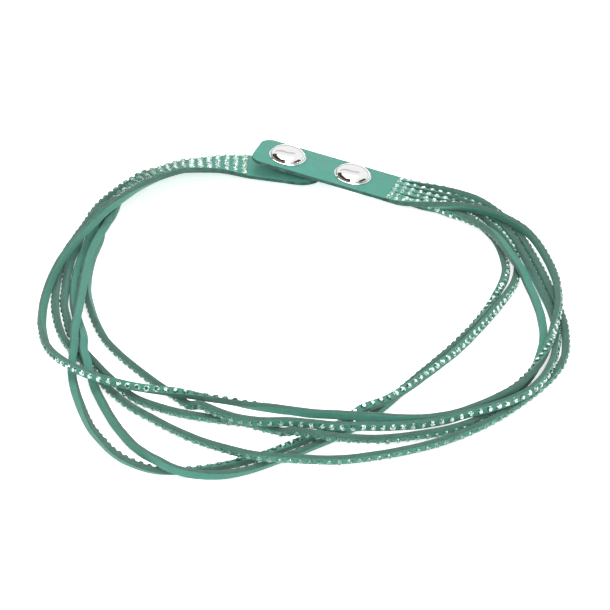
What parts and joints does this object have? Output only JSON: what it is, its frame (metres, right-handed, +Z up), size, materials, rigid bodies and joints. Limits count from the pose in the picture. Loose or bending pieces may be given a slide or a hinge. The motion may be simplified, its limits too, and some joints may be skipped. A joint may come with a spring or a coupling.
{
  "type": "leather bracelet",
  "caption": "Wrap bracelet of one leather strip slit into strands set with rows of small crystals, closed by metal snaps between its end tabs",
  "frame": {"origin": "centre of the bounding box in plan, on the surface that the bracelet lies on", "axes": "X runs along the front stretch of the loop from left to right, Y runs across the loop from the front stretch to the snap tabs, Z is up from the surface"},
  "size_m": [0.1098, 0.1347, 0.0074],
  "materials": {
    "tab_leather": "soft matte suede, teal green",
    "strand_leather": "soft matte suede, sea green with browner cut edges",
    "snap_metal": "polished silver",
    "crystal": "faceted clear crystal over silver foil"
  },
  "bodies": {
    "root": {"under_tab": "tab_leather", "over_tab": "tab_leather", "snap_1": "snap_metal", "snap_2": "snap_metal", "snap_stud": "snap_metal", "strand_1": "strand_leather", "strand_2": "strand_leather", "strand_3": "strand_leather", "strand_4": "strand_leather", "strand_5": "strand_leather", "strand_6": "strand_leather", "stone_row_1": "crystal", "stone_row_2": "crystal", "stone_row_3": "crystal", "stone_row_4": "crystal", "stone_row_5": "crystal", "stone_row_6": "crystal"}
  },
  "joints": []
}
